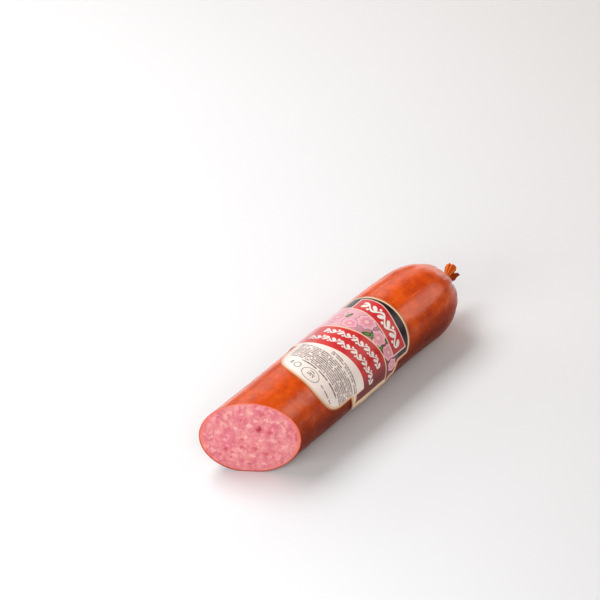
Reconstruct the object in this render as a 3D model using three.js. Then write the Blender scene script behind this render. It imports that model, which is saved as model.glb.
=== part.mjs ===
// A stick of cooked, smoked sausage, cut on the bias at one end and gathered in a metal clip at the other.
// It lies on its side: +X runs from the cut to the gathered tail, +Z is up, and the label is turned to -Y.
// Millimetres. Angles round the stick are measured from the top towards -Y.
import * as THREE from "three";

// Driving dimensions
const diameter = 69;
const bodyLength = 264; // centre of the cut to the crown of the domed end
const domeLength = 50;
const domeFullness = 2.4; // exponent of the dome's outline: 2 is an ellipse, more is squarer
const sag = 1.2; // how far the underside is flattened where it rests
const crownDrop = 3.4; // the domed end is bent a little towards -Y
const biasAngle = THREE.MathUtils.degToRad(32);
const biasReach = 50; // the bias fades out over this length of the stick

const casingWall = 0.8;
const crownWall = 4; // the casing bunches up where it is gathered
const clearance = 0.3;

const neckRadius = 4;
const pleatCount = 12;
const pleatDepth = 0.055; // share of the radius, next to the neck
const pleatLength = 30;

const clipWidth = 3.6;
const clipSize = { across: 13, deep: 11 };
const clipCorner = 3.2;
const clipBevel = 0.5;

const tailLength = 10.5;
const tailSpread = 5.6; // mean radius of the frilled rim
const tailLift = 2.6; // the frill opens more upwards
const tailFrills = 5;
const frillDepth = 1.8;
const tailWall = 0.9;

const label = {
  start: 50, // from the centre of the cut to the label's rounded foot
  length: 126.5,
  thickness: 0.4,
  centreAngle: THREE.MathUtils.degToRad(27.5),
  panelHalfWidth: 38, // widths are measured along the skin
  bandHalfWidth: 55,
  pictureHalfWidth: 49.5,
  headHalfWidth: 40,
  footRound: 28,
  headRound: 10,
  bandFrom: 38.5, // heights above the label's foot
  bandTo: 89.5,
  bandShoulder: 4, // the width changes over this height at each end of the band
  pictureTo: 98,
  headFrom: 105.5,
};

const ringSteps = 48;
const labelSteps = 24;

const radius = diameter / 2;
const shoulder = bodyLength - domeLength;
const neckStart = bodyLength + 3;
const clipStart = neckStart + clearance;
const tailStart = clipStart + clipWidth + clearance;

const smooth = THREE.MathUtils.smoothstep;

// The stick's radius at a distance from the cut, for a wall set in from the skin by inset, and by crownInset at the crown
function roundRadius(station, inset = 0, crownInset = inset) {
  if (station <= shoulder) return radius - inset;
  const along = Math.min((station - shoulder) / (domeLength - crownInset), 1);
  return (radius - inset) * (1 - along ** domeFullness) ** (1 / domeFullness);
}

// A point of the lying stick: the ring is slanted near the cut, and pressed flat where it rests
function placed(station, angle, ringRadius, inset = 0) {
  const side = -ringRadius * Math.sin(angle);
  const rest = sag - radius + inset;
  const height = Math.max(ringRadius * Math.cos(angle), rest);
  const slant = Math.tan(biasAngle) * (1 - smooth(station, 0, biasReach));
  const drop = crownDrop * smooth(station, shoulder - 40, bodyLength);
  return new THREE.Vector3(station - side * slant, side - drop, height);
}

function ring(station, inset = 0, crownInset = inset) {
  const ringRadius = roundRadius(station, inset, crownInset);
  return around((angle) => placed(station, angle, ringRadius, inset));
}

function around(pointAt, steps = ringSteps) {
  return Array.from({ length: steps }, (_, i) => pointAt((2 * Math.PI * i) / steps));
}

function middle(station) {
  return placed(station, 0, 0);
}

// A closed skin through rings of points. Where it ends in a point, that point is the first or last entry.
function loft(rings) {
  const steps = rings.find(Array.isArray).length;
  const grid = rings.map((entry) => (Array.isArray(entry) ? entry : Array(steps).fill(entry)));
  const geometry = new THREE.BufferGeometry().setFromPoints(grid.flat());
  const index = [];
  for (let row = 0; row < grid.length - 1; row++) {
    for (let step = 0; step < steps; step++) {
      const next = (step + 1) % steps;
      const [a, b, c, d] = [step, next, steps + next, steps + step].map((i) => row * steps + i);
      const [here, there] = [grid[row], grid[row + 1]];
      if (!Array.isArray(rings[row])) index.push(a, c, d);
      else if (!Array.isArray(rings[row + 1])) index.push(a, b, d);
      else if (here[step].distanceTo(there[next]) < here[next].distanceTo(there[step])) {
        index.push(a, b, c, a, c, d);
      } else {
        index.push(a, b, d, b, c, d);
      }
    }
  }
  geometry.setIndex(index);
  geometry.computeVertexNormals();
  return geometry;
}

// Distances from the cut at which the dome is ringed, closer together towards the crown
function domeStations(count, crownInset, lastShare = 1) {
  return Array.from({ length: count }, (_, i) => {
    const share = Math.sin((Math.PI / 2) * ((i + 1) / count) * lastShare);
    return shoulder + (domeLength - crownInset) * share;
  });
}

const bodyStations = [0, 9, 20, 32, 44, 60, 90, 120, 150, 180, shoulder];

// Pleats of the skin, which deepen from nothing to their full depth at the neck
function pleated(station) {
  const ringRadius = roundRadius(station);
  const depth = pleatDepth * smooth(station, bodyLength - pleatLength, bodyLength);
  return around((angle) => {
    const fold = 1 + depth * (Math.cos(pleatCount * angle) - 1);
    return placed(station, angle, ringRadius * fold);
  });
}

// The concave throat that runs from the dome to the neck
function throat(fromStation) {
  const fromRadius = roundRadius(fromStation);
  const curve = new THREE.QuadraticBezierCurve(
    new THREE.Vector2(fromStation, fromRadius),
    new THREE.Vector2(bodyLength + 0.6, neckRadius + 0.4),
    new THREE.Vector2(neckStart, neckRadius),
  );
  return curve.getPoints(4).slice(1).map(({ x, y }) => {
    const depth = pleatDepth * Math.min(y / fromRadius, 1);
    return around((angle) => placed(x, angle, y * (1 + depth * (Math.cos(pleatCount * angle) - 1))));
  });
}

// The frilled end of the casing past the clip. share runs from 0 at the clip to 1 at the rim.
function frill(share, inset = 0) {
  const opening = smooth(share, 0, 1.15) / smooth(1, 0, 1.15);
  return around((angle) => {
    const rim = tailSpread + tailLift * Math.cos(angle) + frillDepth * Math.cos(tailFrills * angle);
    const ringRadius = neckRadius + (rim - neckRadius) * opening - inset;
    const reach = tailStart + tailLength * share + opening * Math.cos(3 * angle);
    return placed(reach, angle, ringRadius);
  });
}

function casingGeometry() {
  const outerDome = domeStations(9, 0, 0.84);
  const innerDome = domeStations(7, crownWall).slice(0, -1);
  return loft([
    middle(bodyLength - crownWall),
    ...innerDome.reverse().map((station) => ring(station, casingWall, crownWall)),
    ...bodyStations.toReversed().map((station) => ring(station, casingWall)),
    ...bodyStations.map((station) => ring(station)),
    ...outerDome.map(pleated),
    ...throat(outerDome.at(-1)),
    ...[0, 0.2, 0.45, 0.7, 0.88, 1].map((share) => frill(share)),
    ...[0.97, 0.8, 0.62].map((share) => frill(share, tailWall)),
    middle(tailStart + tailLength * 0.45),
  ]);
}

// The filling runs through the whole stick and shows at the cut
function fillingGeometry() {
  const inset = casingWall + clearance;
  const crownInset = crownWall + clearance;
  const dome = domeStations(7, crownInset).slice(0, -1);
  return loft([
    middle(0),
    ...bodyStations.map((station) => ring(station, inset)),
    ...dome.map((station) => ring(station, inset, crownInset)),
    middle(bodyLength - crownInset),
  ]);
}

// The crimped metal clip: a rounded block with the neck through it
function clipGeometry() {
  const [halfAcross, halfDeep] = [clipSize.across / 2 - clipBevel, clipSize.deep / 2 - clipBevel];
  const outline = new THREE.Shape()
    .moveTo(halfAcross, clipCorner - halfDeep)
    .absarc(halfAcross - clipCorner, halfDeep - clipCorner, clipCorner, 0, Math.PI / 2)
    .absarc(clipCorner - halfAcross, halfDeep - clipCorner, clipCorner, Math.PI / 2, Math.PI)
    .absarc(clipCorner - halfAcross, clipCorner - halfDeep, clipCorner, Math.PI, 1.5 * Math.PI)
    .absarc(halfAcross - clipCorner, clipCorner - halfDeep, clipCorner, 1.5 * Math.PI, 2 * Math.PI);
  const boreRadius = neckRadius + clearance + clipBevel;
  outline.holes.push(new THREE.Path().absarc(0, 0, boreRadius, 0, 2 * Math.PI, true));
  return new THREE.ExtrudeGeometry(outline, {
    depth: clipWidth - 2 * clipBevel,
    bevelThickness: clipBevel,
    bevelSize: clipBevel,
    bevelSegments: 1,
    curveSegments: 5,
  }).translate(0, 0, clipBevel);
}

// Half the label's width, along the skin, at a height above its foot
function labelHalfWidth(height) {
  const { panelHalfWidth, bandHalfWidth, pictureHalfWidth, headHalfWidth, footRound, headRound } = label;
  const { length, bandFrom, bandTo, bandShoulder, pictureTo, headFrom } = label;
  const widen = (from, to, start, end) => from + (to - from) * smooth(height, start, end);
  if (height < bandFrom) {
    const below = Math.max(1 - height / footRound, 0);
    return panelHalfWidth * (1 - below ** 2.3) ** (1 / 2.3);
  }
  if (height < bandTo) return widen(panelHalfWidth, bandHalfWidth, bandFrom, bandFrom + bandShoulder);
  if (height < pictureTo) return widen(bandHalfWidth, pictureHalfWidth, bandTo, bandTo + bandShoulder);
  if (height < length - headRound) return widen(pictureHalfWidth, headHalfWidth, pictureTo, headFrom);
  const above = Math.min((height - length + headRound) / headRound, 1);
  return headHalfWidth * (1 - above ** 1.9) ** (1 / 1.9);
}

// One cross-section of the label: over its outer face one way and back under its inner face
function labelRow(height, thickness) {
  const station = label.start + height;
  const bore = roundRadius(station) + clearance;
  const halfAngle = labelHalfWidth(height) / bore;
  const face = (ringRadius, turn) =>
    Array.from({ length: labelSteps + 1 }, (_, i) => {
      const share = turn * (1 - (2 * i) / labelSteps);
      return placed(station, label.centreAngle + halfAngle * share, ringRadius);
    });
  return [...face(bore + thickness, -1), ...face(bore, 1)];
}

function labelGeometry() {
  const { length, thickness, bandFrom, bandTo, bandShoulder, pictureTo, headFrom, headRound } = label;
  const round = [0.2, 0.9, 2.4, 5, 9, 14, 20, 28];
  const band = [0, 0.25, 0.5, 0.75, 1].map((share) => bandFrom + bandShoulder * share);
  const bandRows = [52, 64, 77, bandTo];
  const pictureRows = [bandTo + bandShoulder / 2, bandTo + bandShoulder, pictureTo];
  const headRows = [0.25, 0.5, 0.75, 1].map((share) => pictureTo + (headFrom - pictureTo) * share);
  headRows.push(length - headRound);
  const top = [0.35, 0.6, 0.8, 0.93, 0.98].map((share) => length - headRound + headRound * share);
  const rows = [...round, ...band, ...bandRows, ...pictureRows, ...headRows, ...top];
  return loft([
    labelRow(rows[0] - 0.1, 0),
    ...rows.map((height) => labelRow(height, thickness)),
    labelRow(rows.at(-1) + 0.05, 0),
  ]);
}

const finish = (color, roughness, metalness = 0) =>
  new THREE.MeshStandardMaterial({ color, roughness, metalness });

const parts = {
  filling: [fillingGeometry(), finish(0xe88e93, 0.5)],
  casing: [casingGeometry(), finish(0xc9501e, 0.35)],
  label: [labelGeometry(), finish(0xf1e6da, 0.5)],
  clip: [clipGeometry(), finish(0xb9bcc0, 0.35, 1)],
};

const stick = new THREE.Group();
for (const [name, [geometry, material]] of Object.entries(parts)) {
  const mesh = new THREE.Mesh(geometry, material);
  mesh.name = name;
  stick.add(mesh);
}

// The clip is drawn flat, so it is stood across the neck
const clip = stick.getObjectByName("clip");
clip.rotation.set(Math.PI / 2, Math.PI / 2, 0);
clip.position.copy(middle(clipStart));

// The origin is under the middle of the stick, on the surface that it rests on
const bounds = new THREE.Box3().setFromObject(stick);
const centre = bounds.getCenter(new THREE.Vector3());
stick.position.set(-centre.x, -centre.y, -bounds.min.z);

export default stick;
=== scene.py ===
"""A stick of cooked, smoked sausage with a printed label, cut on the bias and gathered in a clip."""
import math

import bpy
import numpy as np
from mathutils import Matrix, Vector, noise


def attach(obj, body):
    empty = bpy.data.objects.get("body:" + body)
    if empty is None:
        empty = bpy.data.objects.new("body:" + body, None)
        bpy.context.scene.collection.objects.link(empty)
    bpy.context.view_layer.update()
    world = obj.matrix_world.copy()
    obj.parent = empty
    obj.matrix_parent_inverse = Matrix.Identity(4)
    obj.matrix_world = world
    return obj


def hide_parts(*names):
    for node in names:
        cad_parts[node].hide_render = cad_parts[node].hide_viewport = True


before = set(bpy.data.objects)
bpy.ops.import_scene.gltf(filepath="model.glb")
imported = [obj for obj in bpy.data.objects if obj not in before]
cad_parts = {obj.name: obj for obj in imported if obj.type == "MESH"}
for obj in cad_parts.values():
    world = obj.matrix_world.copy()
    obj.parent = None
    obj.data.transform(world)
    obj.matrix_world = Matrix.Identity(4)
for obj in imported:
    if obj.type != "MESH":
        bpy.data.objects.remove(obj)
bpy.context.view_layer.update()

MM = 0.001

# The stick's own measures, in millimetres, as the solids have them
RADIUS = 34.5
LENGTH = 264  # centre of the cut to the crown
DOME = 50
DOME_FULLNESS = 2.4
SHOULDER = LENGTH - DOME
SAG = 1.2  # how far its own weight presses it flat where it rests
REST_BLEND = 1  # how softly the strip that it rests on runs out into the round
CROWN_DROP = 3.4  # how far the crown is bent towards -Y
BEND_REACH = 40  # how far before the dome that bend begins
BIAS = math.tan(math.radians(32))
BIAS_REACH = 50  # how far from the cut its slant dies away
WALL = 0.8
CROWN_WALL = 4
NECK_RADIUS = 4
NECK_START = LENGTH + 3
CLIP_START = NECK_START + 0.3
CLIP_WIDTH = 3.6
CLIP_THICKNESS = 1.76
CLIP_RADIUS = 5.4
CLIP_HALF_SIZE = (4.6, 5.6)  # up and to the side, to the middle of its wire
CLIP_FULLNESS = 3.2
TAIL_START = CLIP_START + CLIP_WIDTH + 0.3
TAIL_LENGTH = 10.5
FRILL_INSIDE = 1000  # added to a station to mark the inside of the frill until it is shaped

# Where the straight stick's axis starts, in the shared frame
CUT_CENTRE = Vector((-130.57, 0.844, RADIUS - SAG))

LABEL_START = 50
LABEL_LENGTH = 126.5
LABEL_TURN = math.radians(27.5)
LABEL_RIDE = 0.4  # how far the printed face stands off the skin
LABEL_THICKNESS = 0.32
PRINT_SPAN = 200  # how much of the flat label the print's map covers, with the label's middle at its middle

# The label's half widths along the skin, and the heights above its foot where it goes from one to the next
FOOT_TOP, FOOT_FULLNESS = 28, 2.3
PANEL_HALF, PANEL_TOP = 38, 38.5
BAND_HALF, BAND_FOOT, BAND_TOP = 55, 42.5, 89.5
NECK_HALF, NECK_FOOT, NECK_TOP = 49.5, 93.5, 98
HEAD_HALF, HEAD_FOOT = 40, 105.5
HEAD_ROUND, HEAD_FULLNESS = 10, 1.9
HEAD_REACH = HEAD_ROUND + 0.5  # the rows crowd together over this last stretch

# Printed shapes, in millimetres on the flat label, across from its middle and up from its foot
FIELD_INSET = 2.7  # the cream border's width
PICTURE_TOP = 104.2
BANNER_LEFT, BANNER_RIGHT = -27.4, 31.4
BAND_LOW_EDGE = [(-52, 41), (-33, 44), (-20, 45.6), (-10, 48), (0, 51), (10, 53.5), (20, 55.4), (30, 56.5), (39, 56.6),
                 (52, 56.6)]
BAND_HIGH_EDGE = [(-52, 71.5), (-40, 71.8), (-30, 72.5), (-20, 74.4), (-10, 77.2), (0, 80.5), (10, 83.5), (20, 86),
                  (30, 87.4), (40, 88), (52, 88)]
BANNER_LOW_EDGE = [(-30, 103), (-20, 103.4), (-10, 102.6), (0, 101), (10, 99.4), (20, 98.6), (34, 99.2)]
BANNER_HIGH_EDGE = [(-30, 117), (-20, 119.4), (-12, 119.9), (-4, 118.6), (5, 116.2), (15, 114.4), (24, 114.4),
                    (34, 116.4)]
UPPER_VINE = [(-52, 61), (-26, 65.5), (-10, 69), (10, 74), (30, 78.5), (52, 80)]
LOWER_VINE = [(-52, 51.5), (-30, 53.8), (-10, 57.8), (10, 62.2), (30, 65.8), (52, 68)]
# (across, up, half size, petals, turn) and (across, up, half length, turn)
ROSETTES = [(-31, 88, 8.6, 7, 0.2), (-15.5, 83.5, 6.6, 6, 0.9), (-6, 94.5, 8.2, 8, 0.4), (10.5, 91, 7.4, 7, 1.3),
            (25.5, 94, 6.8, 6, 0.6), (38.5, 96, 5.6, 6, 0.1)]
LEAVES = [(1.8, 84.6, 4.6, 0.7), (5.4, 87.6, 3.8, 2.3), (-22.5, 92.5, 4, 1.2), (18.6, 88.6, 3.8, 2),
          (17.4, 98, 3.4, 0.4)]

# Screen colours, 0 to 255
COLOURS = dict(
    # casing
    smoked=(206, 68, 12), smoked_light=(238, 90, 16), amber=(244, 116, 36), russet=(170, 48, 10),
    raw_edge=(232, 128, 100), dark_streak=(168, 46, 12), pale_streak=(250, 126, 62),
    # painted shade for the low sides, the pleats and the frill's valleys; a darker tone near the cut
    low_side_shade=(146, 50, 12), underside_shade=(104, 27, 4), near_cut=(140, 44, 8), fold_shade=(104, 26, 12),
    frill_ridge=(248, 126, 36), frill_fold_shade=(160, 60, 14),
    # filling
    meat=(202, 96, 108), pale_meat=(224, 134, 140), warm_meat=(222, 146, 130), cool_meat=(222, 114, 140),
    soft_fat=(238, 174, 168), rosy_meat=(194, 76, 88), fat_grain=(237, 176, 168),
    meat_grain=(198, 74, 90), fleck=(240, 184, 172), lean=(192, 58, 72), rim_stain=(226, 108, 84),
    # the pinholes' darker pink is painted shade
    dark_spot=(166, 28, 46), pinhole=(168, 64, 78),
    # label
    cream=(251, 220, 182), tan_line=(190, 118, 68), paper=(255, 240, 232), fine_print=(84, 70, 70),
    heading=(58, 52, 54), ring=(96, 104, 102), mark=(48, 44, 46), red=(204, 34, 42),
    # the darkest red is painted shade for the band's -Y end; the vine's shade is printed
    red_light=(222, 58, 60), red_painted_shade=(96, 17, 8), vine_shade=(112, 16, 26), vine=(250, 238, 232),
    # the ground's darker tone is print, deepened as painted shade
    ground=(232, 172, 182), ground_shade=(128, 50, 66), rosette_line=(112, 44, 62),
    petal=(246, 190, 200), petal_inside=(230, 148, 166), rosette_eye=(246, 204, 196),
    leaf_edge=(38, 62, 26), leaf=(104, 150, 66), ink=(20, 18, 28), ink_light=(42, 35, 50),
    # the pale film colour is a painted sheen
    banner_line=(246, 214, 200), dust=(120, 90, 80), painted_film_sheen=(206, 198, 204),
    # clip and floor
    metal=(176, 178, 182), bright_metal=(214, 215, 217), floor=(229, 231, 233), floor_light=(235, 237, 239),
)

# Sides of the round pieces
SKIN_STEPS = 240
CUT_STEPS = 256


def ease(value, low, high):
    """0 below low, 1 above high, and a smooth rise between."""
    share = min(max((value - low) / (high - low), 0), 1)
    return share * share * (3 - 2 * share)


# ---- camera and light

def set_camera():
    """The camera that was fitted to the photo, in degrees and millimetres."""
    turn, lift = math.radians(-54), math.radians(35.3)
    distance, shift_right, shift_up, shift_down = 2500, 39.3, 137.2, 35
    px_per_mm, picture_px, sensor = 1.261, 600, 36
    back = Vector((math.sin(turn) * math.cos(lift), -math.cos(turn) * math.cos(lift), math.sin(lift)))
    right = Vector((math.cos(turn), math.sin(turn), 0))
    up = back.cross(right)
    place = back * distance + right * shift_right + up * shift_up + CUT_CENTRE - Vector((0, 0, shift_down))
    lens = bpy.data.cameras.new("camera")
    lens.sensor_width = sensor
    lens.lens = sensor * px_per_mm * distance / picture_px
    lens.clip_end = 50
    camera = bpy.data.objects.new("camera", lens)
    camera.matrix_world = Matrix.Translation(place * MM) @ Matrix((right, up, back)).transposed().to_4x4()
    bpy.context.collection.objects.link(camera)
    bpy.context.scene.camera = camera


def softbox(name, place, size, brightness, tint=(1, 1, 1)):
    """A studio light that stands at a place, in metres, and faces the middle of the stick."""
    light = bpy.data.lights.new(name, "AREA")
    light.shape = "RECTANGLE"
    light.size, light.size_y = size
    light.energy = brightness * math.pi * size[0] * size[1]
    light.color = tint
    lamp = bpy.data.objects.new(name, light)
    lamp.location = place
    lamp.rotation_euler = (Vector((0, 0, 0.03)) - lamp.location).to_track_quat("-Z", "Y").to_euler()
    bpy.context.collection.objects.link(lamp)


def set_light():
    softbox("key", (-0.05, 0.6, 1.05), (0.8, 0.6), 6.8)
    softbox("left", (-0.1, 1.1, 0.45), (0.8, 0.5), 2.4)
    softbox("front", (-1.1, 0.05, 0.45), (0.7, 0.5), 5.4)
    softbox("front_fill", (-0.75, -0.3, 0.35), (0.5, 0.4), 2)
    softbox("camera_fill", (-0.8, -0.7, 0.9), (0.6, 0.6), 3.9, tint=(1, 0.96, 0.93))
    softbox("far_sheen", (0.75, 0.8, 0.6), (1, 0.6), 1.25, tint=(1, 0.88, 0.8))
    softbox("side_sheen", (0.75, -0.62, 0.58), (0.6, 0.5), 2.7, tint=(1, 0.84, 0.73))
    softbox("end_sheen", (1.3, 0.35, 0.16), (0.8, 0.4), 2.1, tint=(1, 0.84, 0.78))
    world = bpy.data.worlds.new("studio")
    world.use_nodes = True
    background = world.node_tree.nodes["Background"].inputs
    background["Color"].default_value = (1, 1, 1, 1)
    background["Strength"].default_value = 0.03
    bpy.context.scene.world = world
    bpy.context.scene.view_settings.view_transform = "Standard"


# ---- nodes

# The Mix node's sockets for colours are found by number, because their names repeat
MIX_FACTOR, MIX_A, MIX_B, MIX_RESULT = 0, 6, 7, 2


class Bench:
    """Adds nodes to one material or group, so that a finish reads as a list of steps."""

    def __init__(self, tree):
        self.tree = tree

    def add(self, kind, inputs=None, **settings):
        made = self.tree.nodes.new("ShaderNode" + kind)
        for name, value in settings.items():
            setattr(made, name, value)
        for name, value in (inputs or {}).items():
            self.feed(made.inputs[name], value)
        return made

    def feed(self, socket, value):
        if isinstance(value, bpy.types.NodeSocket):
            self.tree.links.new(value, socket)
        else:
            socket.default_value = value

    def calc(self, operation, *values, clamp=False):
        return self.add("Math", dict(enumerate(values)), operation=operation, use_clamp=clamp).outputs[0]

    def chain(self, operation, values):
        total = values[0]
        for value in values[1:]:
            total = self.calc(operation, total, value)
        return total

    def plus(self, *values):
        return self.chain("ADD", values)

    def minus(self, a, b):
        return self.calc("SUBTRACT", a, b)

    def times(self, *values):
        return self.chain("MULTIPLY", values)

    def over(self, value, edge, soft=0.25):
        """1 where value is over edge, 0 where it is under, with a soft step between."""
        return self.calc("ADD", self.calc("DIVIDE", self.minus(value, edge), soft), 0.5, clamp=True)

    def under(self, value, edge, soft=0.25):
        return self.over(edge, value, soft)

    def either(self, *masks):
        """The strongest of several masks."""
        return self.chain("MAXIMUM", masks)

    def blend(self, mask, colour_a, colour_b):
        """colour_a where mask is 0 and colour_b where it is 1; each is a socket or a name in COLOURS."""
        made = self.add("Mix", data_type="RGBA")
        self.feed(made.inputs[MIX_FACTOR], mask)
        for socket, colour in ((MIX_A, colour_a), (MIX_B, colour_b)):
            self.feed(made.inputs[socket], paint(COLOURS[colour]) if isinstance(colour, str) else colour)
        return made.outputs[MIX_RESULT]

    def layers(self, colour, *coats):
        """Lays coats, each a mask, its strength and a colour, over a colour."""
        for mask, strength, over in coats:
            colour = self.blend(self.times(mask, strength), colour, over)
        return colour

    def place(self):
        """The point's place on the object, in metres."""
        return self.add("TexCoord").outputs["Object"]

    def stored(self, name, part="Fac"):
        """What the mesh keeps for each of its points under a name."""
        return self.add("Attribute", attribute_name=name).outputs[part]

    def stretched(self, place, scale):
        return self.add("Mapping", {"Vector": place, "Scale": scale}).outputs[0]

    def noise(self, place, scale, detail=2, roughness=0.5, distortion=0):
        return self.add("TexNoise", {"Vector": place, "Scale": scale, "Detail": detail, "Roughness": roughness,
                                     "Distortion": distortion}).outputs["Fac"]

    def spread(self, value, low, high, to_low=0, to_high=1):
        """value, with low to high stretched smoothly over to_low to to_high."""
        ends = {"Value": value, "From Min": low, "From Max": high, "To Min": to_low, "To Max": to_high}
        return self.add("MapRange", ends, interpolation_type="SMOOTHSTEP").outputs[0]

    def curve(self, value, points):
        """A smooth line through (x, y) points, read at value."""
        xs, ys = [p[0] for p in points], [p[1] for p in points]
        low, high = min(ys) - 1, max(ys) + 1
        made = self.add("FloatCurve")
        line = made.mapping.curves[0]
        places = [((x - xs[0]) / (xs[-1] - xs[0]), (y - low) / (high - low)) for x, y in points]
        line.points[0].location, line.points[1].location = places[0], places[-1]
        for place in places[1:-1]:
            line.points.new(*place)
        made.mapping.update()
        self.feed(made.inputs["Value"], self.calc("DIVIDE", self.minus(value, xs[0]), xs[-1] - xs[0], clamp=True))
        return self.plus(self.times(made.outputs[0], high - low), low)

    def bump(self, shader, height, distance, strength):
        """Raises the surface by height times distance, in metres."""
        made = self.add("Bump", {"Height": height, "Distance": distance, "Strength": strength})
        self.feed(shader["Normal"], made.outputs[0])

    def use(self, group, **inputs):
        """The outputs of a group that is placed here with its own values."""
        made = self.tree.nodes.new("ShaderNodeGroup")
        made.node_tree = group
        for name, value in inputs.items():
            self.feed(made.inputs[name.replace("_", " ")], value)
        return made.outputs


def paint(colour):
    """A screen colour, 0 to 255, as the linear colour that a shader wants."""
    levels = [c / 255 for c in colour]
    return [c / 12.92 if c <= 0.04045 else ((c + 0.055) / 1.055) ** 2.4 for c in levels] + [1]


def new_group(name, inputs, output):
    """A shader node group with named inputs, a vector for Place and numbers for the rest, and one number out."""
    tree = bpy.data.node_groups.new(name, "ShaderNodeTree")
    for label in inputs:
        kind = "NodeSocketVector" if label == "Place" else "NodeSocketFloat"
        tree.interface.new_socket(label, in_out="INPUT", socket_type=kind)
    tree.interface.new_socket(output, in_out="OUTPUT", socket_type="NodeSocketFloat")
    bench = Bench(tree)
    return bench, tree.nodes.new("NodeGroupInput").outputs, tree.nodes.new("NodeGroupOutput").inputs


def new_material(name, roughness, **constants):
    """A material, its bench, and its Principled shader with the plain numbers set."""
    material = bpy.data.materials.new(name)
    material.use_nodes = True
    shader = material.node_tree.nodes["Principled BSDF"]
    shader.inputs["Roughness"].default_value = roughness
    for label, value in constants.items():
        shader.inputs[label.replace("_", " ")].default_value = value
    return material, Bench(material.node_tree), shader.inputs


def mottle_group():
    """Blotches at two sizes, for anything that is smoked, cured or printed unevenly."""
    bench, given, result = new_group("mottle", ("Place", "Size", "Contrast"), "Blotch")
    scale = bench.calc("DIVIDE", 1, given["Size"])
    broad = bench.noise(given["Place"], scale, 3, 0.55, 0.4)
    fine = bench.noise(given["Place"], bench.times(scale, 4.3), 4, 0.6)
    mixed = bench.minus(bench.plus(bench.times(broad, 0.65), bench.times(fine, 0.35)), 0.5)
    bench.feed(result["Blotch"], bench.calc("ADD", bench.times(mixed, given["Contrast"]), 0.5, clamp=True))
    return bench.tree


def oval_group():
    """How far a point is inside a turned oval with a waved edge: 1 at the middle, 0 at the edge, less outside."""
    names = ("U", "V", "Centre U", "Centre V", "Half Length", "Half Width", "Turn", "Petals", "Wave")
    bench, given, result = new_group("oval", names, "Inside")
    across = bench.minus(given["U"], given["Centre U"])
    along = bench.minus(given["V"], given["Centre V"])
    cos, sin = bench.calc("COSINE", given["Turn"]), bench.calc("SINE", given["Turn"])
    x = bench.calc("DIVIDE", bench.plus(bench.times(across, cos), bench.times(along, sin)), given["Half Length"])
    y = bench.calc("DIVIDE", bench.minus(bench.times(along, cos), bench.times(across, sin)), given["Half Width"])
    reach = bench.calc("SQRT", bench.plus(bench.times(x, x), bench.times(y, y)))
    around = bench.calc("ARCTAN2", y, x)
    wave = bench.times(bench.calc("COSINE", bench.times(around, given["Petals"])), given["Wave"])
    bench.feed(result["Inside"], bench.minus(bench.plus(1, wave), reach))
    return bench.tree


def in_oval(bench, oval, u, v, centre_u, centre_v, half_length, half_width, turn=0, petals=0, wave=0):
    """How far (u, v) is inside one oval, as the oval group has it."""
    return bench.use(oval, U=u, V=v, Centre_U=centre_u, Centre_V=centre_v, Half_Length=half_length,
                     Half_Width=half_width, Turn=turn, Petals=petals, Wave=wave)["Inside"]


def vine_group(oval):
    """A vine scroll that runs along U: a waving stem with a leaf and a berry in each bend."""
    bench, given, result = new_group("vine", ("U", "V", "Pitch", "Tall"), "Vine")
    pitch, tall, v = given["Pitch"], given["Tall"], given["V"]
    phase = bench.calc("FRACT", bench.calc("DIVIDE", bench.plus(given["U"], bench.times(pitch, 20)), pitch))
    wave = bench.times(bench.calc("SINE", bench.times(phase, math.tau)), tall, 0.3)
    shapes = [bench.under(bench.calc("ABSOLUTE", bench.minus(v, wave)), bench.times(tall, 0.105), 0.35)]
    # Two leaves, then the berries: place along the pitch, height, half length and half width, and turn
    for at, height, length, width, turn in (
        (0.27, -0.1, 0.33, 0.18, 0.75), (0.77, 0.1, 0.33, 0.18, -0.75),
        (0.02, 0.36, 0.13, 0.12, 0), (0.52, -0.36, 0.13, 0.12, 0), (1.02, 0.36, 0.13, 0.12, 0),
    ):
        inside = in_oval(bench, oval, bench.times(phase, pitch), v, bench.times(pitch, at), bench.times(tall, height),
                         bench.times(tall, length), bench.times(tall, width), turn)
        shapes.append(bench.over(inside, 0, 0.2))
    bench.feed(result["Vine"], bench.either(*shapes))
    return bench.tree


def fine_print_group():
    """Rows of short grey dashes, which stand for fine print."""
    bench, given, result = new_group("fine_print", ("U", "V", "Row Pitch", "Word", "Seed"), "Ink")
    rows = bench.calc("DIVIDE", given["V"], given["Row Pitch"])
    row = bench.calc("FLOOR", rows)
    middle = bench.calc("ABSOLUTE", bench.minus(bench.calc("FRACT", rows), 0.5))
    line = bench.under(middle, 0.33, 0.12)

    def dashes(length, cover):
        """1 over the share of each row's cells that cover gives, picked by chance."""
        cells = bench.calc("DIVIDE", bench.plus(given["U"], bench.times(row, 3.7)), length)
        place = bench.add("CombineXYZ", {"X": bench.calc("FLOOR", cells), "Y": row, "Z": given["Seed"]})
        chance = bench.add("TexWhiteNoise", {"Vector": place.outputs[0]}, noise_dimensions="3D").outputs["Value"]
        return bench.under(chance, cover, 0.05)

    words = bench.either(dashes(given["Word"], 0.78), dashes(bench.times(given["Word"], 2.1), 0.4))
    strokes = bench.plus(0.6, bench.times(dashes(0.55, 0.6), 0.4))
    bench.feed(result["Ink"], bench.times(line, words, strokes))
    return bench.tree


# ---- finishes

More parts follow.
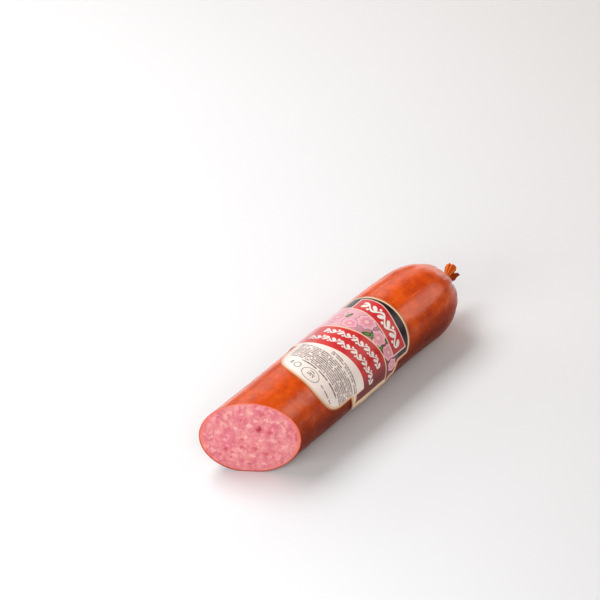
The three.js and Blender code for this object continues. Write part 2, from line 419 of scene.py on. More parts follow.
def casing_finish(mottle):
    material, bench, shader = new_material("smoked_casing", 0.36, Specular_IOR_Level=0.05, Coat_Weight=0.3,
                                           Coat_Roughness=0.25)
    place = bench.place()
    broad = bench.use(mottle, Place=place, Size=0.03, Contrast=2.2)["Blotch"]
    small = bench.use(mottle, Place=place, Size=0.006, Contrast=2)["Blotch"]
    cut, fold_shade, frill = bench.stored("cut_edge"), bench.stored("fold_shade"), bench.stored("frill")
    skin = bench.stored("along", "Vector")
    streak = bench.noise(bench.stretched(skin, (0.07, 1, 1)), 240, 3, 0.6, 0.3)
    # Painted shade: the skin is painted darker below and towards -Y, less so towards the crown, and it is a little
    # darker near the cut.
    # The low side towards +Y is painted browner, also as shade.
    length_place, across, height_up = bench.add("SeparateXYZ", {"Vector": place}).outputs
    other = bench.plus(bench.minus(across, bench.times(height_up, 0.6)), bench.times(broad, 0.008))
    underside_shade_mask = bench.plus(height_up, bench.times(across, 0.5), bench.times(broad, 0.008))
    underside_shade_mask = bench.times(bench.spread(underside_shade_mask, 0.046, 0.013), bench.spread(length_place, 0.085, 0.128, 1, 0.45))
    uncut = bench.minus(1, bench.times(cut, 0.6))
    colour = bench.layers(
        bench.blend(bench.spread(broad, 0.25, 0.75), "smoked", "smoked_light"),
        (bench.spread(small, 0.55, 0.85), 0.4, "amber"),
        (bench.spread(small, 0.42, 0.15), 0.4, "russet"),
        (cut, 0.7, "raw_edge"),
        (bench.spread(streak, 0.52, 0.72), 0.4, "dark_streak"),
        (bench.spread(streak, 0.44, 0.26), 0.35, "pale_streak"),
        # painted shade on the low +Y side
        (bench.times(bench.spread(other, 0, 0.02), uncut), 0.6, "low_side_shade"),
        # painted shade on the low -Y side
        (bench.times(underside_shade_mask, uncut), 0.94, "underside_shade"),
        (bench.times(bench.spread(length_place, -0.05, -0.1), uncut), 0.16, "near_cut"),
        # painted shade in the pleats and in the frill's valleys
        (bench.spread(fold_shade, 0.1, 0.9), 0.75, "fold_shade"),
        (frill, 0.9, bench.blend(bench.spread(fold_shade, 0.1, 0.9), "frill_ridge", "frill_fold_shade")),
    )
    bench.feed(shader["Base Color"], colour)
    # Fine creases round the stick break up its gloss
    crease = bench.noise(bench.stretched(skin, (1, 0.28, 0.28)), 430, 4, 0.6, 0.7)
    gloss = bench.times(bench.spread(underside_shade_mask, 0, 0.6, 1, 0.03), bench.spread(crease, 0.3, 0.7, 0.65, 1.15))
    bench.feed(shader["Coat Weight"], bench.minus(gloss, frill))
    polish = bench.plus(bench.spread(small, 0.2, 0.8, 0.29, 0.42), bench.times(frill, 0.2))
    bench.feed(shader["Roughness"], bench.plus(polish, bench.spread(streak, 0.3, 0.7, -0.04, 0.06)))
    wrinkle = bench.noise(bench.stretched(skin, (0.35, 1, 1)), 420, 5, 0.6, 0.6)
    pores = bench.noise(place, 1500)
    height = bench.plus(bench.times(wrinkle, 0.6), bench.times(pores, 0.25), bench.times(crease, 0.6))
    bench.bump(shader, height, 0.00035, 0.5)
    return material


def filling_finish(mottle):
    material, bench, shader = new_material("cooked_filling", 0.42, Specular_IOR_Level=0.4, Coat_Weight=0.12,
                                           Coat_Roughness=0.25)
    # The grains stand a little taller than they are wide
    place = bench.stretched(bench.place(), (1, 1, 0.76))
    broad = bench.use(mottle, Place=place, Size=0.009, Contrast=2)["Blotch"]
    small = bench.use(mottle, Place=place, Size=0.0032, Contrast=2.2)["Blotch"]
    hue = bench.noise(place, 110)
    # Grains of fat and meat with ragged edges, picked by chance
    ragged = bench.add("TexNoise", {"Vector": place, "Scale": 300, "Detail": 3}).outputs["Color"]
    push = bench.add("VectorMath", {0: ragged, 1: (0.0035, 0.0035, 0.0035), 2: place}, operation="MULTIPLY_ADD")
    grains = bench.add("TexVoronoi", {"Vector": push.outputs[0], "Scale": 210, "Smoothness": 0.3},
                       feature="SMOOTH_F1").outputs
    chance = bench.add("SeparateColor", {0: grains["Color"]}).outputs
    fat = bench.times(bench.under(grains["Distance"], 0.4, 0.3), bench.over(chance[0], 0.62, 0.1))
    meat = bench.times(bench.under(grains["Distance"], 0.36, 0.36), bench.under(chance[1], 0.28, 0.1))
    # Pinholes of trapped air, sunk by the bump and painted darker as shade in their hollows
    holes = bench.add("TexVoronoi", {"Vector": place, "Scale": 330}).outputs
    chosen = bench.add("SeparateColor", {0: holes["Color"]}).outputs[2]
    pinhole = bench.times(bench.under(holes["Distance"], 0.17, 0.08), bench.over(chosen, 0.78, 0.05))
    colour = bench.layers(
        bench.blend(bench.spread(broad, 0.15, 0.85), "meat", "pale_meat"),
        (bench.spread(hue, 0.53, 0.72), 0.44, "warm_meat"),
        (bench.spread(hue, 0.47, 0.28), 0.44, "cool_meat"),
        (bench.spread(small, 0.52, 0.82), 0.6, "soft_fat"),
        (bench.spread(small, 0.45, 0.15), 0.55, "rosy_meat"),
        (fat, 0.44, "fat_grain"),
        (meat, 0.38, "meat_grain"),
        (bench.stored("fleck"), bench.spread(small, 0.2, 0.7, 0.28, 0.66), "fleck"),
        (bench.stored("lean"), bench.spread(small, 0.9, 0.3, 0.5, 0.85), "lean"),
        (bench.stored("rim"), bench.spread(small, 0.2, 0.8, 0.4, 0.8), "rim_stain"),
        (bench.stored("spot"), 1, "dark_spot"),
        (pinhole, 0.5, "pinhole"),
    )
    bench.feed(shader["Base Color"], colour)
    bench.feed(shader["Roughness"], bench.spread(small, 0.2, 0.8, 0.36, 0.52))
    crumb = bench.minus(bench.noise(place, 900, 4, 0.6), bench.times(pinhole, 0.7))
    bench.bump(shader, crumb, 0.0004, 0.35)
    return material


def picture_ground(bench, oval, u, v, tint):
    """Rosettes and leaves on a dusky ground."""
    # The ground darkens towards the -Y end: dusky print, deepened there as painted shade
    ground = bench.blend(bench.spread(bench.plus(u, bench.times(tint, 24)), -12, 44), "ground", "ground_shade")
    for centre_u, centre_v, size, petals, turn in ROSETTES:
        inside = in_oval(bench, oval, u, v, centre_u, centre_v, size, size * 0.92, turn, petals, 0.09)
        ground = bench.blend(bench.times(bench.over(inside, -0.06, 0.05), 0.75), ground, "rosette_line")
        petal = bench.blend(bench.spread(inside, 0, 0.55), "petal", "petal_inside")
        petal = bench.blend(bench.spread(inside, 0.72, 0.84), petal, "rosette_eye")
        ground = bench.blend(bench.over(inside, 0, 0.05), ground, petal)
    for centre_u, centre_v, length, turn in LEAVES:
        leaf = in_oval(bench, oval, u, v, centre_u, centre_v, length, length * 0.42, turn)
        green = bench.blend(bench.spread(leaf, 0.1, 0.7), "leaf_edge", "leaf")
        ground = bench.blend(bench.over(leaf, 0, 0.1), ground, green)
    return ground


def label_finish(mottle, oval, vine, fine_print):
    material, bench, shader = new_material("printed_label", 0.34, Specular_IOR_Level=0.28, Coat_Weight=0.2,
                                           Coat_Roughness=0.3)
    print_map = bench.add("UVMap", uv_map="print").outputs[0]
    print_place = bench.add("VectorMath", {"Vector": print_map, "Scale": PRINT_SPAN}, operation="SCALE").outputs[0]
    from_left, v, _ = bench.add("SeparateXYZ", {"Vector": print_place}).outputs
    u = bench.minus(from_left, PRINT_SPAN / 2)
    edge = bench.stored("from_edge")
    field = bench.over(edge, FIELD_INSET)

    def band_mask(low, high):
        return bench.times(bench.over(v, low), bench.under(v, high))

    band_low, band_high = bench.curve(u, BAND_LOW_EDGE), bench.curve(u, BAND_HIGH_EDGE)
    banner_low, banner_high = bench.curve(u, BANNER_LOW_EDGE), bench.curve(u, BANNER_HIGH_EDGE)
    tint = bench.use(mottle, Place=bench.place(), Size=0.02, Contrast=1.6)["Blotch"]

    # The cream border has a tan line at its very edge and another inside it
    inner_line = bench.under(bench.calc("ABSOLUTE", bench.minus(edge, FIELD_INSET - 0.2)), 0.2)
    lines = bench.either(bench.under(edge, 1.25, 0.5), inner_line)
    panel = bench.times(field, bench.under(u, PANEL_HALF), bench.under(v, band_low))

    def rows(low, high, left, right, pitch, word, seed):
        """Fine print between two heights and two sides of the text panel."""
        ink = bench.use(fine_print, U=u, V=bench.minus(v, low), Row_Pitch=pitch, Word=word, Seed=seed)["Ink"]
        return bench.times(ink, band_mask(low, high), bench.over(u, left), bench.under(u, right), panel)

    def ring(centre_u, centre_v, half_length, half_width, line):
        inside = in_oval(bench, oval, u, v, centre_u, centre_v, half_length, half_width)
        return bench.times(bench.under(bench.calc("ABSOLUTE", inside), line, line * 0.8), panel)

    text = bench.either(rows(22, 41.4, -32, 35.5, 1.94, 1.5, 1), rows(42.9, 47, -5, 37, 2.05, 1.5, 4),
                        rows(11, 12.9, 10, 28, 1.9, 1.5, 9))
    rings = bench.either(ring(-2, 11.6, 8.2, 6, 0.05), ring(-16.5, 13.2, 2.9, 2.9, 0.16))
    marks = bench.either(rows(9.9, 13.4, -5.2, 1.2, 1.75, 1.2, 3), rows(14.4, 15.7, -5, 1, 1.3, 0.9, 2),
                         rows(12.4, 16.4, -24, -21.2, 2, 1.1, 5))
    colour = bench.layers(
        "cream",
        (lines, 0.9, "tan_line"),
        (panel, 1, "paper"),
        (text, 0.8, "fine_print"),
        (rows(19.2, 21.4, -18, 27, 2.2, 2.6, 7), 0.95, "heading"),
        (rings, 0.8, "ring"),
        (marks, 0.95, "mark"),
    )

    # Red band, with a drop at its right end that runs down beside the text panel
    drop = bench.times(bench.over(u, 39.2), bench.over(v, 46.5), bench.under(v, 60))
    band_end = bench.under(bench.calc("ABSOLUTE", u), 48.8)
    band = bench.times(field, band_end, bench.either(band_mask(band_low, band_high), drop))
    red = bench.blend(bench.spread(tint, 0.2, 0.8), "red", "red_light")
    # Painted shade: the red darkens towards its -Y end, on the band and on the banner's end
    red = bench.blend(bench.times(bench.spread(u, 23, 40), 0.88), red, "red_painted_shade")
    colour = bench.blend(band, colour, red)

    def ornament(base, mask, line, pitch, tall, left, repeats):
        """A cream vine scroll along a line, with a darker shade under it, that ends between two berries."""
        gap = 0.02 * pitch + 0.13 * tall + 0.2
        right = left + repeats * pitch - gap + 0.04 * pitch
        inside = bench.times(mask, bench.over(u, left + gap), bench.under(u, right))
        scroll = dict(U=bench.minus(u, left), Pitch=pitch, Tall=tall)
        shade = bench.use(vine, V=bench.plus(bench.minus(v, line), 0.55), **scroll)["Vine"]
        light = bench.use(vine, V=bench.minus(v, line), **scroll)["Vine"]
        base = bench.blend(bench.times(shade, inside, 0.6), base, "vine_shade")
        return bench.blend(bench.times(light, inside), base, "vine")

    colour = ornament(colour, band, bench.curve(u, UPPER_VINE), 12.3, 7.8, -28.8, 5)
    colour = ornament(colour, band, bench.curve(u, LOWER_VINE), 12.8, 7.8, -35.4, 6)
    line = bench.times(field, bench.under(bench.calc("ABSOLUTE", bench.minus(v, band_high)), 0.45))
    colour = bench.blend(line, colour, "cream")

    picture = bench.times(field, bench.over(v, bench.plus(band_high, 0.6)), bench.under(v, PICTURE_TOP))
    colour = bench.blend(picture, colour, picture_ground(bench, oval, u, v, tint))

    # Dark field over the picture, and the banner that lies across both
    dark = bench.times(field, bench.over(v, PICTURE_TOP))
    colour = bench.blend(dark, colour, bench.blend(bench.spread(tint, 0.3, 0.8), "ink", "ink_light"))
    banner_line = bench.times(bench.over(u, BANNER_LEFT - 1.2), bench.under(u, BANNER_RIGHT + 1.2),
                              band_mask(bench.minus(banner_low, 0.9), bench.plus(banner_high, 0.9)))
    colour = bench.blend(banner_line, colour, "banner_line")
    banner = bench.times(bench.over(u, BANNER_LEFT), bench.under(u, BANNER_RIGHT), band_mask(banner_low, banner_high))
    colour = bench.blend(banner, colour, red)
    middle = bench.times(bench.plus(banner_low, banner_high), 0.5)
    colour = ornament(colour, banner, middle, 17.6, 10.8, -24, 3)

    # A painted sheen pales the film towards its end on the +Y side, over random dusty blotches
    colour = bench.layers(colour, (bench.spread(tint, 0.7, 0.3), 0.05, "dust"),
                          (bench.spread(u, -17, -41), 0.27, "painted_film_sheen"))
    bench.feed(shader["Base Color"], colour)
    bench.feed(shader["Roughness"], bench.spread(tint, 0.2, 0.8, 0.3, 0.4))
    bench.feed(shader["Coat Weight"], bench.spread(u, -12, -44, 0.1, 1))
    ripple = bench.noise(bench.place(), 160, 3)
    bench.bump(shader, ripple, 0.0004, 0.2)
    return material


def clip_finish(mottle):
    material, bench, shader = new_material("clip_metal", 0.32, Metallic=1)
    place = bench.place()
    blotch = bench.use(mottle, Place=place, Size=0.004, Contrast=2)["Blotch"]
    bench.feed(shader["Base Color"], bench.blend(blotch, "metal", "bright_metal"))
    bench.feed(shader["Roughness"], bench.spread(blotch, 0.2, 0.8, 0.24, 0.44))
    scratches = bench.noise(bench.stretched(place, (1, 8, 8)), 300, 3)
    bench.bump(shader, scratches, 0.0001, 0.3)
    return material


def floor_finish(mottle):
    material, bench, shader = new_material("pale_floor", 0.7)
    place = bench.place()
    blotch = bench.use(mottle, Place=place, Size=0.4, Contrast=0.6)["Blotch"]
    bench.feed(shader["Base Color"], bench.blend(blotch, "floor", "floor_light"))
    return material


# ---- shaping

def new_piece(name, add, **settings):
    """A Blender primitive at the origin, under a plain name."""
    bpy.ops.object.select_all(action="DESELECT")
    add(location=(0, 0, 0), **settings)
    piece = bpy.context.active_object
    piece.name = piece.data.name = name
    return piece


def spun_piece(name, profile, steps):
    """A closed body: a chain of edges is drawn through (station, radius) points and spun about the stick's axis."""
    station, radius = profile[0]
    piece = new_piece(name, bpy.ops.mesh.primitive_plane_add, size=MM)
    bpy.ops.object.mode_set(mode="EDIT")
    bpy.ops.mesh.merge(type="CENTER")
    bpy.ops.transform.translate(value=(station * MM, 0, radius * MM))
    for next_station, next_radius in profile[1:]:
        step = ((next_station - station) * MM, 0, (next_radius - radius) * MM)
        bpy.ops.mesh.extrude_region_move(TRANSFORM_OT_translate={"value": step})
        station, radius = next_station, next_radius
    bpy.ops.mesh.select_all(action="SELECT")
    bpy.ops.mesh.spin(steps=steps, angle=math.tau, center=(0, 0, 0), axis=(1, 0, 0))
    bpy.ops.mesh.select_all(action="SELECT")
    bpy.ops.mesh.remove_doubles(threshold=1e-6)
    bpy.ops.mesh.normals_make_consistent(inside=False)
    bpy.ops.object.mode_set(mode="OBJECT")
    bpy.ops.object.transform_apply(location=True, rotation=True, scale=True)
    return piece


def unrolled(vertex):
    """Where a vertex of the straight stick is, in millimetres: x, y, z, radius, and angle from the top towards -Y."""
    x, y, z = vertex.co / MM
    return x, y, z, math.hypot(y, z), math.atan2(-y, z)


def round_radius(station, inset=0, crown_inset=None):
    """The stick's radius at a distance from the cut, for a wall set in from the skin."""
    crown_inset = inset if crown_inset is None else crown_inset
    if station <= SHOULDER:
        return RADIUS - inset
    along = min((station - SHOULDER) / (DOME - crown_inset), 1)
    return (RADIUS - inset) * (1 - along**DOME_FULLNESS) ** (1 / DOME_FULLNESS)


def lie_down(station, angle, radius, inset=0):
    """A point of the lying stick, in metres: slanted at the cut, bent at the crown, pressed flat where it rests."""
    side = -radius * math.sin(angle)
    height, rest = radius * math.cos(angle), SAG - RADIUS + inset
    nearness = max(REST_BLEND - abs(height - rest), 0)
    height = max(height, rest) + nearness**2 / (4 * REST_BLEND)
    slant = BIAS * (1 - ease(station, 0, BIAS_REACH))
    drop = CROWN_DROP * ease(station, SHOULDER - BEND_REACH, LENGTH)
    return (Vector((station - side * slant, side - drop, height)) + CUT_CENTRE) * MM


def skin_relief(station, angle):
    """How far the skin stands in or out of its true round, in millimetres."""
    at = Vector((station, 34 * math.cos(angle), 34 * math.sin(angle)))
    broad = noise.noise(at / 26)
    lumps = noise.noise(at / 8 + Vector((5, 5, 5)))
    fine = noise.noise(at / 3.1 + Vector((9, 2, 4)))
    calm = ease(station, 0, 12)
    return (0.3 * broad + 0.13 * lumps + 0.05 * fine - 0.23) * calm - 0.12


def pleats(station, angle):
    """How deep the gathered folds are, from 0 on the body to about 1 at the neck."""
    reach = ease(station, LENGTH - 36, LENGTH - 0.5) ** 1.25
    waver = 0.5 * noise.noise(Vector((station / 16, 3 * math.cos(angle), 3 * math.sin(angle))))
    wave = (
        0.45 * math.cos(9 * angle + 0.4 + waver)
        + 0.35 * math.cos(14 * angle + 2 + 2 * waver)
        + 0.3 * math.cos(23 * angle + 1.1 - waver)
    )
    return max(0, 0.25 - wave) * reach


def dome_stations(count, crown_inset=0, last_share=1):
    return [SHOULDER + (DOME - crown_inset) * math.sin(math.pi / 2 * (i + 1) / count * last_share)
            for i in range(count)]


def bow(start, middle, end, share):
    """A value on a smooth bow from start to end that leans towards middle."""
    return (1 - share) ** 2 * start + 2 * share * (1 - share) * middle + share * share * end


def throat_points(station, count):
    """The hollow that leads from the dome to the neck."""
    return [(bow(station, LENGTH + 0.6, NECK_START, i / count),
             bow(round_radius(station), NECK_RADIUS + 0.4, NECK_RADIUS, i / count)) for i in range(1, count + 1)]


# The frill's rim as (degrees from the top towards -Y, radius, reach), with one broad lobe up and one to the side
RIM = [
    (-180, 4.3, 8.4), (-150, 5, 9.4), (-122, 6.4, 9), (-100, 5.2, 8.2), (-80, 6.6, 9.4), (-60, 7.6, 9),
    (-45, 10, 10), (-33, 9.7, 10.6), (-21, 10.5, 11.3), (-9, 9.5, 10.3), (4, 10.1, 10.9), (18, 9.7, 10.6),
    (29, 8.2, 9.6), (39, 4.9, 8), (48, 5.3, 9.4), (60, 6.6, 10.7), (75, 6.9, 11), (90, 5.8, 9.6),
    (112, 4.6, 8), (135, 5.2, 9.2), (158, 4.7, 8.6), (180, 4.3, 8.4),
]


def rim_at(angle):
    """The rim's radius and reach at an angle, eased from one listed point to the next."""
    degrees = math.degrees(angle)
    for (start, *low), (end, *high) in zip(RIM, RIM[1:]):
        if degrees <= end:
            share = ease(degrees, start, end)
            return [a + (b - a) * share for a, b in zip(low, high)]
    return RIM[-1][1:]


def frill_waves(angle):
    """The frill's broad and fine folds, each from -1 to 1."""
    return math.cos(13 * angle + 0.8), math.cos(22 * angle + 2.2)


def frill_shape(share, angle):
    """The frill's radius, and its distance past the neck, at a share of the way from the clip to the rim."""
    opening = ease(share, 0, 1.15) / ease(1, 0, 1.15)
    rim_radius, rim_reach = rim_at(angle)
    broad, fine = frill_waves(angle)
    folds = 0.32 * broad + 0.22 * fine
    radius = NECK_RADIUS * 0.97 + (rim_radius + folds - NECK_RADIUS) * opening
    return radius, rim_reach * share + 0.4 * math.sin(3 * math.pi * share) * folds * opening


def clip_round(angle):
    """The rounded square that the middle of the clip's wire follows."""
    up, side = abs(math.cos(angle)) / CLIP_HALF_SIZE[0], abs(math.sin(angle)) / CLIP_HALF_SIZE[1]
    return (up**CLIP_FULLNESS + side**CLIP_FULLNESS) ** (-1 / CLIP_FULLNESS)


def make_casing(material):
    """The skin, drawn from inside the crown to the cut, then back outside to the neck and the frill."""
    spacing = 1.3
    outer = [0, 0.25] + [spacing * i for i in range(1, int(SHOULDER / spacing) + 1)]
    dome = dome_stations(52, last_share=0.86)
    inner_dome = dome_stations(8, CROWN_WALL)[:-1]
    profile = [(LENGTH - CROWN_WALL, 0)]
    profile += [(s, round_radius(s, WALL, CROWN_WALL)) for s in reversed(inner_dome)]
    profile += [(s, RADIUS - WALL) for s in (200, 150, 100, 50, 20, 6, 1.5)]
    profile += [(0, RADIUS - WALL), (-0.12, RADIUS - WALL * 0.5)]
    profile += [(s, round_radius(s)) for s in outer + dome]
    profile += throat_points(dome[-1], 14)
    profile += [(NECK_START + 1.2 * i, NECK_RADIUS) for i in range(1, 4)]
    # The frill starts as a straight tube with a wall, and opens when its points are shaped
    profile += [(TAIL_START + TAIL_LENGTH * i / 24, NECK_RADIUS) for i in range(25)]
    profile += [(FRILL_INSIDE + TAIL_START + TAIL_LENGTH * s, NECK_RADIUS - 0.7) for s in
                (0.985, 0.95, 0.9, 0.84, 0.78, 0.72, 0.66, 0.6, 0.55, 0.5)]
    profile += [(FRILL_INSIDE + TAIL_START + TAIL_LENGTH * 0.45, 0)]
    casing = spun_piece("sausage_casing", profile, SKIN_STEPS)

    marks = {"cut_edge": [], "fold_shade": [], "frill": []}
    along = []
    crown_start = dome[-1]
    for vertex in casing.data.vertices:
        x, _, _, radius, angle = unrolled(vertex)
        inside = x > FRILL_INSIDE - 1
        station = x - FRILL_INSIDE if inside else x
        dark = tail = inset = 0
        if station >= TAIL_START - 0.01 or inside:
            share = (station - TAIL_START) / TAIL_LENGTH
            rim, reach = frill_shape(share, angle)
            if radius > 0.01:
                radius = max(rim - (0.55 if inside else 0), 0.3)
            station = TAIL_START + reach - (0.2 if inside else 0)
            broad, fine = frill_waves(angle)
            # Painted shade: the frill is darker in its valleys, near the clip and on its -Y side
            dark = 0.5 - 0.3 * broad - 0.25 * fine
            dark = max(dark, 0.9 - ease(share, 0, 0.4), 0.8 * ease(angle, 0.45, 0.9))
            tail = 1
        elif radius < 1 or abs(radius - round_radius(station, WALL, CROWN_WALL)) < 0.02:
            inset = WALL
        elif station < 0:
            inset = WALL / 2
        else:
            depth = pleats(station, angle)
            if station <= crown_start + 0.01:
                radius += skin_relief(station, angle) - 1.5 * depth
            else:
                radius *= 1 - 0.16 * depth * ease(NECK_START + 2 - station, 0, 4)
                held = ease(station, LENGTH + 1.5, CLIP_START) - ease(station, TAIL_START - 0.7, TAIL_START)
                radius += (clip_round(angle) - CLIP_THICKNESS / 2 + 0.1 - NECK_RADIUS) * held
            # Painted shade: darker deep in the gathered pleats
            dark = min(1, depth * 1.1) * (1 - 0.3 * ease(radius, NECK_RADIUS + 0.5, 16))
        vertex.co = lie_down(station, angle, radius, inset)
        at_cut = 1 if x < 0.05 and radius < RADIUS - 0.2 else 0
        for values, value in zip(marks.values(), (at_cut, dark, tail)):
            values.append(value)
        along.extend((station * MM, RADIUS * MM * math.sin(angle), RADIUS * MM * math.cos(angle)))
    casing.data.attributes.new("along", "FLOAT_VECTOR", "POINT").data.foreach_set("vector", along)
    store(casing, marks)
    finish_piece(casing, material, "casing", 60)
    return casing


def store(piece, marks):
    """Keeps named lists, each of a number for each point of the mesh, for a material to read."""
    for name, values in marks.items():
        piece.data.attributes.new(name, "FLOAT", "POINT").data.foreach_set("value", values)


def finish_piece(piece, material, node, degrees):
    """Smooths a piece up to an angle, gives it its finish, hangs it under the root body and hides the CAD node that it
    stands for.
    """
    bpy.ops.object.select_all(action="DESELECT")
    piece.select_set(True)
    bpy.context.view_layer.objects.active = piece
    bpy.ops.object.shade_smooth_by_angle(angle=math.radians(degrees))
    piece.data.materials.clear()
    piece.data.materials.append(material)
    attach(piece, "root")
    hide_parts(node)


# What shows on the cut, as (side, height, half length, half width, any degrees turned) from the cut's middle
BITS_TALLER = 1.25  # and each is drawn this much taller
DARK_SPOT = (-5.9, 8.4, 2.2, 2.9)
LEAN_BITS = [
    (16.2, -11.7, 1.9, 1.3, -25), (5.3, -1.8, 1.5, 1.3, 10), (21.2, 19.4, 1.4, 1, 40), (5.3, 16.7, 2.4, 1.6),
    (-7.3, 23.2, 2.8, 2), (5.8, -9.7, 1.6, 1.2), (20.2, -16.9, 1.2, 0.9), (25.6, -18.7, 1.3, 0.8, -40),
    (13.2, -19.4, 1.1, 0.9), (-13.5, 5.7, 2.6, 1.7, 10), (-3.1, -10.6, 2.4, 1.4), (-10, -15.2, 2.6, 1.5),
    (26.4, -3, 1.5, 1.2, 60), (-31, 0.4, 0.9, 1.5), (-15.5, -18.4, 0.9, 0.7), (0.9, -25.8, 1.5, 0.8),
]
PALE_FLECKS = [
    (-15.5, -1.3, 3, 1.7, -15), (-21.9, 3.3, 2, 1.5), (0.4, 12, 2.4, 1.7), (-12.5, 17.4, 3.4, 1.6, -10),
    (10.8, -13.2, 2.6, 1.2, -8), (-1.6, -17.4, 3.3, 0.9, -20), (22.1, 5.1, 1.7, 1.5), (14.2, 24.1, 2, 1.2, 15),
    (-22.4, -8, 1.2, 1.7), (-27.3, -9.2, 1.6, 1), (2.9, 0.5, 1.1, 1.2), (16.2, 21.8, 1.2, 1),
    (-1.1, 24.6, 1.6, 1.2), (-18.4, 16.7, 2, 1.4), (-9, -24.9, 2.8, 1, -15), (18.7, 14.9, 1.8, 1.3),
    (-3.6, 17.3, 1.5, 1.3), (16.7, -2.5, 1.6, 1), (9.8, 9.3, 1.6, 1.2), (5.8, 22.4, 1.4, 1),
    (-7, -1.8, 1.8, 1),
]


def inside_oval(side, height, centre_side, centre_height, half_length, half_width, degrees=0):
    """0 at the middle of a turned oval on the cut and 1 at its edge."""
    turn = math.radians(degrees)
    across, up = centre_side - side, (height - centre_height) / BITS_TALLER
    x = across * math.cos(turn) + up * math.sin(turn)
    y = up * math.cos(turn) - across * math.sin(turn)
    return math.hypot(x / half_length, y / half_width)


def make_filling(material):
    """The meat, with a fine disc of rings for its cut face."""
    gap = 0.02  # between the filling and its skin
    edge = RADIUS - WALL - gap
    rings = 72
    profile = [(0, edge * i / rings) for i in range(rings - 2)]
    profile += [(0, edge - 0.5), (0.03, edge - 0.2), (0.25, edge)]
    profile += [(s, edge) for s in (1.5, 6, 20, 60, 110, 160, 200)]
    crown_inset = CROWN_WALL + 0.1
    dome = [SHOULDER] + dome_stations(9, crown_inset)[:-1]
    profile += [(s, round_radius(s, WALL + gap, crown_inset)) for s in dome]
    profile += [(LENGTH - crown_inset, 0)]
    filling = spun_piece("sausage_filling", profile, CUT_STEPS)

    marks = {"fleck": [], "lean": [], "rim": [], "spot": []}
    for vertex in filling.data.vertices:
        x, y, z, radius, angle = unrolled(vertex)
        near_edge = spotted = pale = rosy = 0
        station = x
        if x < 0.5:
            face = 1 - ease(radius, edge - 1.2, edge)
            at = Vector((y, z, 0))
            rough = 0.16 * noise.noise(at / 4.2) + 0.12 * noise.noise(at / 1.7) + 0.05 * noise.noise(at / 0.8)
            wander = 0.7 * noise.noise(at / 1.5) + 0.4 * noise.noise(at / 0.7)
            pale = max(1 - ease(inside_oval(y, z, *shape) + wander, 0.3, 1.35) for shape in PALE_FLECKS)
            rosy = max(1 - ease(inside_oval(y, z, *shape) + wander, 0.4, 1.3) for shape in LEAN_BITS)
            spotted = 1 - ease(inside_oval(y, z, *DARK_SPOT) + 0.5 * wander, 0.45, 1.1)
            rough += 0.1 * pale - 0.14 * rosy - 0.35 * spotted
            station = x - rough * face + 0.12
            flank = math.sin(angle) ** 2 * ease(z, -26, -8)
            stain = 0.5 + 1.3 * flank + 1.1 * noise.noise(at / 4) + 0.5 * noise.noise(at / 1.3)
            near_edge = ease(radius, edge - stain - 1.5, edge - stain + 0.8)
        vertex.co = lie_down(station, angle, radius, WALL)
        for values, value in zip(marks.values(), (pale, rosy, near_edge, spotted)):
            values.append(value)
    store(filling, marks)
    finish_piece(filling, material, "filling", 50)
    return filling


# ---- label

def label_half_width(height):
    """Half the label's width along the skin, at a height above its foot."""
    if height < PANEL_TOP:
        return PANEL_HALF * (1 - max(1 - height / FOOT_TOP, 0) ** FOOT_FULLNESS) ** (1 / FOOT_FULLNESS)
    if height < BAND_TOP:
        return PANEL_HALF + (BAND_HALF - PANEL_HALF) * ease(height, PANEL_TOP, BAND_FOOT)
    if height < NECK_TOP:
        return BAND_HALF - (BAND_HALF - NECK_HALF) * ease(height, BAND_TOP, NECK_FOOT)
    if height < LABEL_LENGTH - HEAD_ROUND:
        return NECK_HALF - (NECK_HALF - HEAD_HALF) * ease(height, NECK_TOP, HEAD_FOOT)
    above = min((height - LABEL_LENGTH + HEAD_ROUND) / HEAD_ROUND, 1)
    return HEAD_HALF * (1 - above**HEAD_FULLNESS) ** (1 / HEAD_FULLNESS)


def label_rows():
    """Heights of the label's rows, close together where its outline turns quickly."""
    tip = 0.004  # the first and last row stop just short of the ends, where the width is nothing
    foot = [FOOT_TOP * (i / 44) ** 2.2 for i in range(1, 45)]
    panel = list(np.linspace(FOOT_TOP + 1, PANEL_TOP - 0.5, 10))
    step = list(np.linspace(PANEL_TOP, BAND_FOOT, 14))
    band = list(np.linspace(BAND_FOOT + 1.3, BAND_TOP - 0.9, 40))
    neck = list(np.linspace(BAND_TOP, HEAD_FOOT, 32))
    head = list(np.linspace(HEAD_FOOT + 1.1, LABEL_LENGTH - HEAD_REACH, 9))
    top = [LABEL_LENGTH - HEAD_ROUND * (1 - i / 30) ** 2 for i in range(1, 30)] + [LABEL_LENGTH - tip]
    return [tip] + foot + panel + step + band + neck + head + top


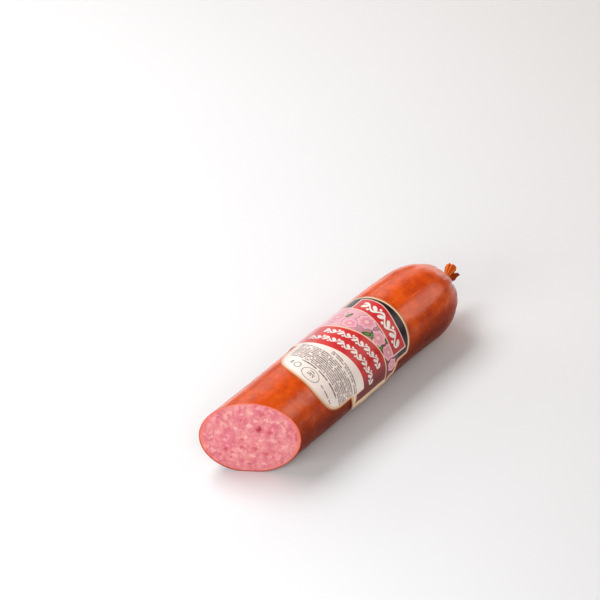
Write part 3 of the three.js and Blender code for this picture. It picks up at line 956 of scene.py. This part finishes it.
def make_label(material):
    """The printed film: a grid that takes the outline's shape, wraps round the skin and gets its thickness."""
    heights = label_rows()
    columns = 121
    label = new_piece("wrapped_label", bpy.ops.mesh.primitive_grid_add, x_subdivisions=columns - 1,
                      y_subdivisions=len(heights) - 1, size=2)
    mesh = label.data
    # The outline as close points, closest near both ends, where it turns quickly
    shares = [(i / 300) ** 4 for i in range(301)]
    edge_heights = [FOOT_TOP * share for share in shares]
    edge_heights += list(np.linspace(FOOT_TOP, LABEL_LENGTH - HEAD_REACH, 400))
    edge_heights += [LABEL_LENGTH - HEAD_REACH * share for share in shares]
    outline = np.array([(sign * label_half_width(h), h) for h in edge_heights for sign in (-1, 1)])

    flat = np.empty((len(mesh.vertices), 2))
    for i, vertex in enumerate(mesh.vertices):
        row = round((vertex.co.y + 1) / 2 * (len(heights) - 1))
        height = heights[row]
        across = vertex.co.x * label_half_width(height)
        flat[i] = across, height
    nearest = np.array([np.sqrt(((outline - point) ** 2).sum(1).min()) for point in flat])
    for vertex, (across, height), edge in zip(mesh.vertices, flat, nearest):
        station, angle = LABEL_START + height, LABEL_TURN + across / (RADIUS + LABEL_RIDE)
        radius = RADIUS + LABEL_RIDE + skin_relief(station, angle) * 0.9
        # The edges stand off a little, most at the loose end on the -Y side
        ripple = 0.5 + 0.9 * noise.noise(Vector((station / 13, across / 13, 3)))
        radius += max(0, 0.22 * ripple) * (1 - ease(edge, 0, 4))
        radius += 1.15 * (1 - ease(edge, 0, 8.5)) * ease(across, 36, 52) * (0.8 + 0.4 * ripple)
        vertex.co = lie_down(station, angle, radius)
    store(label, {"from_edge": nearest})
    layer = mesh.uv_layers.new(name="print")
    for loop in mesh.loops:
        u, v = flat[loop.vertex_index]
        layer.data[loop.index].uv = (u / PRINT_SPAN + 0.5, v / PRINT_SPAN)
    mesh.uv_layers.active = layer
    while len(mesh.uv_layers) > 1:
        mesh.uv_layers.remove(next(other for other in mesh.uv_layers if other.name != "print"))

    bpy.ops.object.mode_set(mode="EDIT")
    bpy.ops.mesh.select_all(action="SELECT")
    bpy.ops.mesh.normals_make_consistent(inside=False)
    bpy.ops.object.mode_set(mode="OBJECT")
    wall = label.modifiers.new("film", "SOLIDIFY")
    wall.thickness = LABEL_THICKNESS * MM
    wall.offset = -1
    bpy.ops.object.modifier_apply(modifier=wall.name)
    finish_piece(label, material, "label", 40)
    return label


def make_clip(material):
    """A wire clip, pressed to a rounded square about the neck."""
    clip = new_piece("neck_clip", bpy.ops.mesh.primitive_torus_add, major_segments=192, minor_segments=24,
                     major_radius=CLIP_RADIUS * MM, minor_radius=MM, rotation=(0, math.pi / 2, 0))
    bpy.ops.object.transform_apply(location=False, rotation=True, scale=True)
    drop = lie_down(CLIP_START + CLIP_WIDTH / 2, 0, 0)
    for vertex in clip.data.vertices:
        x, _, _, radius, angle = unrolled(vertex)
        section = math.atan2(x, radius - CLIP_RADIUS)
        thick = CLIP_THICKNESS / 2 * math.copysign(abs(math.cos(section)) ** 0.7, math.cos(section))
        width = (CLIP_WIDTH / 2 - 0.05) * math.copysign(abs(math.sin(section)) ** 0.7, math.sin(section))
        joint = math.exp(-((angle / 0.07) ** 2))  # where the two ends of the bent wire meet
        radius = clip_round(angle) + thick * (1 - 0.55 * joint)
        width *= 1 - 0.1 * joint
        vertex.co = Vector((width, -radius * math.sin(angle), radius * math.cos(angle))) * MM + drop
    finish_piece(clip, material, "clip", 60)
    return clip


def make_floor(material):
    floor = new_piece("floor", bpy.ops.mesh.primitive_plane_add, size=8)
    floor.data.materials.append(material)


set_camera()
set_light()
mottle = mottle_group()
make_casing(casing_finish(mottle))
make_filling(filling_finish(mottle))
oval = oval_group()
make_label(label_finish(mottle, oval, vine_group(oval), fine_print_group()))
make_clip(clip_finish(mottle))
make_floor(floor_finish(mottle))
